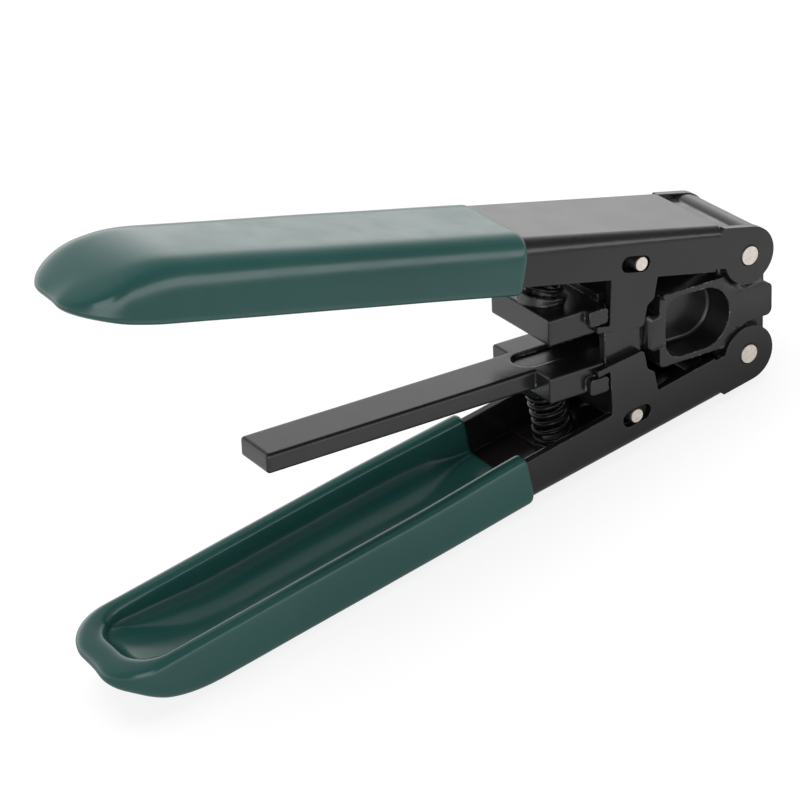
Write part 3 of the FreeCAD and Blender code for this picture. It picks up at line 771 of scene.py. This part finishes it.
@dataclass
class DippedGrip:
    """Vinyl sleeve that the dip left on a handle's rear: soft lip, thin lining, round rim and tip.

    Sizes are in millimetres along the handle's own axes: back from the pivot, across, and out
    through the web. A pair such as tip_bend_in is the stretch along the handle in which a form
    comes in. Angles are in degrees.
    """

    LIP_SHARE: ClassVar[float] = 0.017
    LIP_STEPS: ClassVar[int] = 8
    FLANK_STEPS: ClassVar[int] = 90
    CORNER_STEPS: ClassVar[int] = 20
    END_STEPS: ClassVar[int] = 6
    RIM_STEPS: ClassVar[int] = 14
    WALL_STEPS: ClassVar[int] = 6
    BEND_STEPS: ClassVar[int] = 16
    WEB_STEPS: ClassVar[int] = 10
    ROUND: ClassVar[float] = 2.0
    WELD: ClassVar[float] = 0.004
    SMOOTH: ClassVar[float] = 60.0

    frame: Frame
    side: Side
    material: bpy.types.Material
    tip: float
    settle: float
    drip: tuple[float, float]

    # The sheet underneath
    sheet_half: float = 11.25
    sheet: float = 1.5
    sheet_web: float = 5.9
    sheet_rim: float = -2.8
    sheet_end: float = 139.0
    plan_corner: float = 8.0

    # The dip line and the skin
    start: float = 52.1
    lip: float = 1.3
    lip_skin: float = 0.03
    skin: float = 0.8
    lining: float = 0.6
    end_lining: float = 1.9
    over_rim: float = 1.6
    rim_flat: float = 0.7
    rim_cut: float = 0.2
    rim_cut_from: float = 118.0

    # The web and the floor, which sweep inwards to the tip
    sweep: float = 21.0
    sweep_power: float = 2.6
    drop: float = 8.1
    floor_reach: float = 5.0
    floor_power: float = 2.0
    inner_drop: float = 5.6
    crown: float = 0.15
    crown_in: Range = (92.0, 122.0)
    tip_rise: float = 0.9
    tip_rise_from: float = 126.0

    # The bends between wall and web, outside and inside
    bend: float = 5.8
    tip_bend: float = 5.9
    tip_bend_in: Range = (100.0, 134.0)
    fullness: float = 2.9
    bend_share: float = 0.75
    least_wall: float = 0.1
    inner_bend: float = 1.2
    pooled_bend: float = 7.2
    pooled_after: float = 18.0
    end_bend: float = 2.0
    end_bend_from: float = 122.0

    # What the wet dip did
    wave: float = 0.12
    wave_length: float = 18.0
    settled_turn: float = 2.8
    settled_axis: float = 1.0
    settled_after: float = 25.0
    settled_lining: float = 0.35
    sag: float = 0.35
    sag_from: float = 80.0
    hang: float = 0.65
    hang_width: float = 3.6
    hang_length: float = 3.0

    def build(self) -> bpy.types.Object:
        """Lays the skin out section by section, closes it and lets it wave slowly.

        Returns:
            The sleeve, which rides its handle.
        """
        axes = HandleAxes(self.frame, self.side)
        sections = [self.section(station) for station in self.stations()]
        size = len(sections[0])
        points = [Vector(point) * MM for section in sections for point in section]
        faces = []
        for row in range(len(sections) - 1):
            for step in range(size - 1):
                first = row * size + step
                faces.append((first, first + 1, first + size + 1, first + size))
        mesh = bpy.data.meshes.new(self.side.node("sleeve"))
        mesh.from_pydata(points, [], faces)
        mesh.materials.append(self.material)
        sleeve = add_object(self.side.node("sleeve"), mesh)
        self.close(sleeve)
        self.ripple(sleeve)
        sleeve.data.transform(axes.matrix())
        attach(sleeve, self.side.node("handle"))
        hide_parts(self.side.node("grip"))
        return sleeve

    def stations(self) -> list[Station]:
        """Places round the plan outline, close together at the lip and round the tip."""
        lip = [
            self.LIP_SHARE * (1 - math.cos(step / self.LIP_STEPS * QUARTER))
            for step in range(self.LIP_STEPS)
        ]
        flank = [
            self.LIP_SHARE + (1 - self.LIP_SHARE) * step / self.FLANK_STEPS
            for step in range(self.FLANK_STEPS + 1)
        ]
        near = [Station(Stretch.FLANK, share, -1) for share in lip + flank]
        for stretch, steps in ((Stretch.CORNER, self.CORNER_STEPS), (Stretch.END, self.END_STEPS)):
            near += [Station(stretch, step / steps, -1) for step in range(1, steps + 1)]
        far = [Station(place.stretch, place.share, 1) for place in reversed(near[:-1])]
        return near + far

    def section(self, station: Station) -> list[Point]:
        """Line over the skin at a station, from the web's middle over the rim to the floor's.

        Args:
            station: Place along the plan outline.

        Returns:
            Points back, across and out.
        """
        corner = self.plan_corner + self.skin
        whole = Plan(self.sheet_half + self.skin, self.outer_end(), corner)
        back = whole.spot(station, self.start)[0]
        swell = self.swell(back)
        outside = Plan(self.sheet_half + self.skin * swell, whole.end, whole.corner)
        wall = self.sheet + self.inner_skin() * swell
        inside = Plan(self.sheet_half - wall, self.inner_end(), self.plan_corner - self.sheet)
        thick = outside.half - inside.half
        rise = self.tip_rise * (1 - self.settle) * ease(back, self.tip_rise_from, whole.end)
        low = self.sheet_rim - self.over_rim * swell + rise + thick / 2
        bends = ((self.outer_bend(back), self.fullness), (self.floor_bend(back), self.ROUND))
        outer = self.leaf(station, outside, low, bends[0], self.web_height(swell))
        inner = self.leaf(station, inside, low, bends[1], self.floor_height(swell))
        ending = ease(back, self.rim_cut_from, self.inner_end())
        flat = self.rim_flat + (1 - self.rim_flat) * ending
        rim = []
        for step in range(1, self.RIM_STEPS):
            angle = step / self.RIM_STEPS * math.pi * (1 - self.rim_cut * ending)
            plan = outside.towards(inside, (1 - math.cos(angle)) / 2)
            height = low - thick / 2 * math.sin(angle) ** flat
            rim.append((*plan.spot(station, self.start), height))
        return [self.settled(point) for point in list(reversed(outer)) + rim + inner]

    def leaf(
        self,
        station: Station,
        plan: Plan,
        low: float,
        turn: tuple[float, float],
        height: Callable[[float, float], float],
    ) -> list[Point]:
        """Half of a section, outside or inside: up the wall, round the bend and to the middle.

        Args:
            station: Place along the outline.
            plan: Outline of the wall.
            low: Height at which the wall leaves the rim.
            turn: Size of the bend between wall and web, and its fullness: 2 is round, more squarer.
            height: Height of the web or floor at a place back from the pivot and across.

        Returns:
            Points from the rim to the middle.
        """
        bend, fullness = turn
        back, across = plan.spot(station, self.start)
        rise = min(bend, self.bend_share * max(height(back, across) - low, self.least_wall))
        wall = height(back, across) - rise - low
        points = [
            (back, across, low + wall * step / self.WALL_STEPS) for step in range(self.WALL_STEPS)
        ]
        for step in range(self.BEND_STEPS + 1):
            angle = step / self.BEND_STEPS * QUARTER
            inset = bend * (1 - max(math.cos(angle), 0.0) ** (2 / fullness))
            back, across = plan.inset(inset).spot(station, self.start)
            under = rise * (1 - math.sin(angle) ** (2 / fullness))
            points.append((back, across, height(back, across) - under))
        for step in range(1, self.WEB_STEPS + 1):
            inset = bend + (plan.half - bend) * step / self.WEB_STEPS
            back, across = plan.inset(inset).spot(station, self.start)
            points.append((back, across, height(back, across)))
        return points

    def swell(self, back: float) -> float:
        """Share of the skin's full thickness, which rounds up from the dip line."""
        short = 1 - min((back - self.start) / self.lip, 1.0)
        return self.lip_skin + (1 - self.lip_skin) * math.sqrt(1 - short**2)

    def outer_bend(self, back: float) -> float:
        """Size of the outer bend, which changes a little towards the tip."""
        return self.bend + (self.tip_bend - self.bend) * ease(back, *self.tip_bend_in)

    def floor_bend(self, back: float) -> float:
        """Size of the inner bend: tight at the dip line, full where the dip pooled."""
        pooling = ease(back, self.start, self.start + self.pooled_after)
        pooled = self.inner_bend + (self.pooled_bend - self.inner_bend) * pooling
        ending = ease(back, self.end_bend_from, self.inner_end())
        return pooled + (self.end_bend - pooled) * ending

    def web_height(self, swell: float) -> Callable[[float, float], float]:
        """Height of the skin over the web, which rounds over and sweeps inwards to the tip."""
        start = self.outer_end() - self.sweep
        top = self.sheet_web + self.skin * swell

        def height(back: float, across: float) -> float:
            """Height at a place back and across."""
            dome = 1 - 2 * (across / self.sheet_half) ** 2
            swept = max((back - start) / self.sweep, 0.0) ** self.sweep_power
            return top + self.crown * ease(back, *self.crown_in) * dome - self.drop * swept

        return height

    def floor_height(self, swell: float) -> Callable[[float, float], float]:
        """Height of the lining on the floor, which ramps up to the tip."""
        top = self.sheet_web - self.sheet - self.inner_skin() * swell
        length = self.sweep + self.floor_reach
        start = self.inner_end() - length

        def height(back: float, _: float) -> float:
            """Height at a place back, the same all across."""
            ramped = max((back - start) / length, 0.0) ** self.floor_power
            return top - self.inner_drop * ramped

        return height

    def outer_end(self) -> float:
        """Place where the tip ends."""
        return self.sheet_end + self.skin + self.tip

    def inner_skin(self) -> float:
        """Thickness of the lining, a little more where the dip has settled."""
        return self.lining + self.settled_lining * self.settle

    def inner_end(self) -> float:
        """Place where the lining closes the channel's rear end."""
        return self.sheet_end - self.sheet - self.lining - self.end_lining

    def settled(self, point: Point) -> Point:
        """Point as the wet dip settled.

        Args:
            point: Place back, across and out on the even skin.

        Returns:
            The place turned about the handle's length and sagged, with a drip at the tip.
        """
        back, across, out = point
        turning = ease(back, self.start, self.start + self.settled_after)
        turn = math.radians(self.settled_turn) * self.settle * turning
        sag = self.sag * self.settle * ease(back, self.sag_from, self.sheet_end)
        away = math.hypot(across - self.drip[0], out - self.drip[1])
        ending = ease(back, self.sheet_end - self.hang_length, self.sheet_end)
        hang = self.hang * math.exp(-((away / self.hang_width) ** 2)) * ending
        sideways = turn * (out - self.settled_axis) - sag
        return back + hang, across + sideways, out - turn * across + sag / 2

    def close(self, sleeve: bpy.types.Object) -> None:
        """Joins the two halves along the middle, closes the dip line, turns faces outwards."""
        with editing(sleeve):
            bpy.ops.mesh.remove_doubles(threshold=self.WELD * MM)
            bpy.ops.mesh.select_all(action="DESELECT")
            bpy.ops.mesh.select_mode(type="EDGE")
            bpy.ops.mesh.select_non_manifold()
            bpy.ops.mesh.fill()
            bpy.ops.mesh.select_all(action="SELECT")
            bpy.ops.mesh.normals_make_consistent(inside=False)
        bpy.ops.object.shade_smooth_by_angle(angle=math.radians(self.SMOOTH))

    def ripple(self, sleeve: bpy.types.Object) -> None:
        """Lets the skin wave slowly."""
        select_only(sleeve)
        cloud = bpy.data.textures.new(self.side.node("dip_waves"), "CLOUDS")
        cloud.noise_scale = self.wave_length * MM
        cloud.noise_depth = 0
        wave = sleeve.modifiers.new("waves", "DISPLACE")
        wave.texture = cloud
        wave.strength = self.wave * MM
        wave.mid_level = 0.5
        bpy.ops.object.modifier_apply(modifier="waves")


@dataclass
class PhotoCamera:
    """Camera that sees the tool as the photograph does: metres, degrees and millimetres."""

    location: tuple[float, float, float] = (-0.228643, -0.459266, 0.340360)
    angles: tuple[float, float, float] = (57.818104, 11.656305, -33.421522)
    lens: float = 148.1379
    sensor: float = 36.0
    clip: Range = (0.01, 20.0)

    def build(self) -> bpy.types.Object:
        """Adds the camera and makes it the scene's own."""
        data = bpy.data.cameras.new("photo_camera")
        data.lens = self.lens
        data.sensor_width = self.sensor
        data.clip_start, data.clip_end = self.clip
        camera = add_object("photo_camera", data)
        camera.location = self.location
        camera.rotation_euler = [math.radians(angle) for angle in self.angles]
        bpy.context.scene.camera = camera
        return camera


@dataclass(frozen=True)
class SoftLight:
    """One large soft light aimed at the tool, in metres and watts."""

    name: str
    place: Point
    target: Point
    size: tuple[float, float]
    power: float
    mirrored: bool = True

    def build(self) -> bpy.types.Object:
        """Adds the light."""
        data = bpy.data.lights.new(self.name, "AREA")
        data.shape = "RECTANGLE"
        data.size, data.size_y = self.size
        data.energy = self.power
        light = add_object(self.name, data)
        light.visible_glossy = self.mirrored
        light.location = self.place
        aim = Vector(self.target) - Vector(self.place)
        light.rotation_euler = aim.to_track_quat("-Z", "Y").to_euler()
        return light


@dataclass
class Studio:
    """White floor and surroundings, and the soft lights, in metres.

    A pair ending in _AT is a stretch of the floor, or of a direction's depth or height, over
    which the brightness runs between the two levels of the same name.
    """

    FLOOR_CELLS: ClassVar[int] = 8
    FLOOR_SIZE: ClassVar[float] = 8.0
    FLOOR_HEIGHT: ClassVar[float] = -0.0006
    FLOOR_TONE: ClassVar[float] = 0.22
    SEEN_GLOW: ClassVar[float] = 0.83
    BOUNCED_GLOW: ClassVar[float] = 0.5
    BESIDE_AT: ClassVar[Range] = (0.012, 0.045)
    BESIDE: ClassVar[Range] = (0.25, 0.66)
    AHEAD_AT: ClassVar[Range] = (0.05, 0.14)
    AHEAD: ClassVar[Range] = (1.0, 0.4)
    FAR_AT: ClassVar[Range] = (0.15, 0.40)
    FAR: ClassVar[Range] = (0.0, 2.0)
    REAR_AT: ClassVar[Range] = (-0.35, 0.75)
    REAR: ClassVar[Range] = (0.30, 1.0)
    RISE_AT: ClassVar[Range] = (0.05, 0.65)
    RISE: ClassVar[Range] = (1.75, 0.55)
    FRONT_AT: ClassVar[Range] = (-0.80, -0.45)
    FRONT: ClassVar[Range] = (1.0, 0.0)
    BAND_AT: ClassVar[Range] = (0.05, 0.30)
    BAND: ClassVar[Range] = (1.9, 0.0)

    lights: Sequence[SoftLight] = (
        SoftLight(
            "overhead", (0.05, 0.12, 0.75), (0.0, 0.0, 0.02), (0.7, 0.5), 3.4, mirrored=False
        ),
        SoftLight("front_fill", (-0.50, -0.75, 0.50), (0.0, 0.0, 0.03), (0.6, 0.6), 2.3),
    )

    def build(self) -> None:
        """Builds the floor, world and lights."""
        self.floor()
        self.world()
        for light in self.lights:
            light.build()
        bpy.context.scene.view_settings.view_transform = "Standard"

    def floor(self) -> bpy.types.Object:
        """Wide pale floor: white to the camera apart from the tool's shadow.

        Reflections see its glow with a painted shadow of the tool: dim under the tool, pale on
        either side, and bright far in front.

        Returns:
            The floor.
        """
        bpy.ops.object.select_all(action="DESELECT")
        bpy.ops.mesh.primitive_grid_add(
            x_subdivisions=self.FLOOR_CELLS,
            y_subdivisions=self.FLOOR_CELLS,
            size=self.FLOOR_SIZE,
            location=(0, 0, self.FLOOR_HEIGHT),
        )
        floor = bpy.context.active_object
        floor.name = "floor"
        made = bpy.data.materials.new("floor_white")
        made.use_nodes = True
        graph = NodeGraph(made.node_tree)
        output = graph.add("OutputMaterial")
        path = graph.add("LightPath")
        matt = graph.set(graph.add("BsdfDiffuse"), Color=(self.FLOOR_TONE,) * 3)
        seen = graph.maths("MULTIPLY", path.outputs["Is Camera Ray"], self.SEEN_GLOW)
        # Painted shadow: the glow that reflections see is dimmed beside and just ahead of the tool,
        # where the tool would shade the floor; far ahead it is brighter.
        ahead = graph.maths("MULTIPLY", graph.part(graph.place(), "Y"), -1.0)
        beside = graph.span(graph.maths("ABSOLUTE", ahead), self.BESIDE_AT, self.BESIDE)
        near = graph.maths("MULTIPLY", beside, graph.span(ahead, self.AHEAD_AT, self.AHEAD))
        level = graph.maths("ADD", near, graph.span(ahead, self.FAR_AT, self.FAR))
        mirrored = graph.maths("MULTIPLY", path.outputs["Is Glossy Ray"], level)
        bounced = graph.maths("MULTIPLY", path.outputs["Is Diffuse Ray"], self.BOUNCED_GLOW)
        unseen = graph.maths("MAXIMUM", mirrored, bounced)
        glow = graph.add("Emission")
        graph.set(glow, Color=WHITE, Strength=graph.maths("MAXIMUM", seen, unseen))
        both = graph.add("AddShader")
        graph.tree.links.new(matt.outputs[0], both.inputs[0])
        graph.tree.links.new(glow.outputs[0], both.inputs[1])
        graph.tree.links.new(both.outputs[0], output.inputs["Surface"])
        floor.data.materials.append(made)
        return floor

    def world(self) -> None:
        """White to the camera; for light and reflections a soft room.

        It is brighter behind and towards the horizon, with a bright band low in front.
        """
        world = bpy.data.worlds.new("studio")
        bpy.context.scene.world = world
        world.use_nodes = True
        graph = NodeGraph(world.node_tree)
        output = graph.add("OutputWorld")
        path = graph.add("LightPath")
        way = graph.add("TexCoord").outputs["Generated"]
        depth, height = graph.part(way, "Y"), graph.part(way, "Z")
        rear = graph.span(depth, self.REAR_AT, self.REAR)
        rise = graph.span(height, self.RISE_AT, self.RISE)
        front = graph.span(depth, self.FRONT_AT, self.FRONT)
        band = graph.maths("MULTIPLY", front, graph.span(height, self.BAND_AT, self.BAND))
        room = graph.maths("ADD", graph.maths("MULTIPLY", rear, rise), band)
        back = graph.add("Background")
        strength = graph.maths("MAXIMUM", room, path.outputs["Is Camera Ray"])
        graph.set(back, Color=WHITE, Strength=strength)
        graph.tree.links.new(back.outputs[0], output.inputs["Surface"])


def main() -> None:
    """Builds the whole scene."""
    logging.basicConfig(level=logging.INFO, format="%(name)s: %(message)s")
    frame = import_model()
    materials = {finish.name: finish.material() for finish in FINISHES}
    CadNodes(frame, materials).dress()
    HeadBlock(frame, materials[CASTING.name]).build()
    vinyl = materials[VINYL.name]
    DippedGrip(frame, Side.UPPER, vinyl, tip=2.2, settle=0.0, drip=(5.0, -2.0)).build()
    DippedGrip(
        frame,
        Side.LOWER,
        vinyl,
        tip=0.8,
        settle=1.0,
        drip=(-6.0, -1.0),
        crown=0.0,
        bend=4.0,
        tip_bend=4.5,
    ).build()
    for side in Side:
        CoilSpring(frame, side, materials[WIRE.name]).build()
    LOG.info("pieces built")
    PhotoCamera().build()
    Studio().build()


if __name__ == "__main__":
    main()
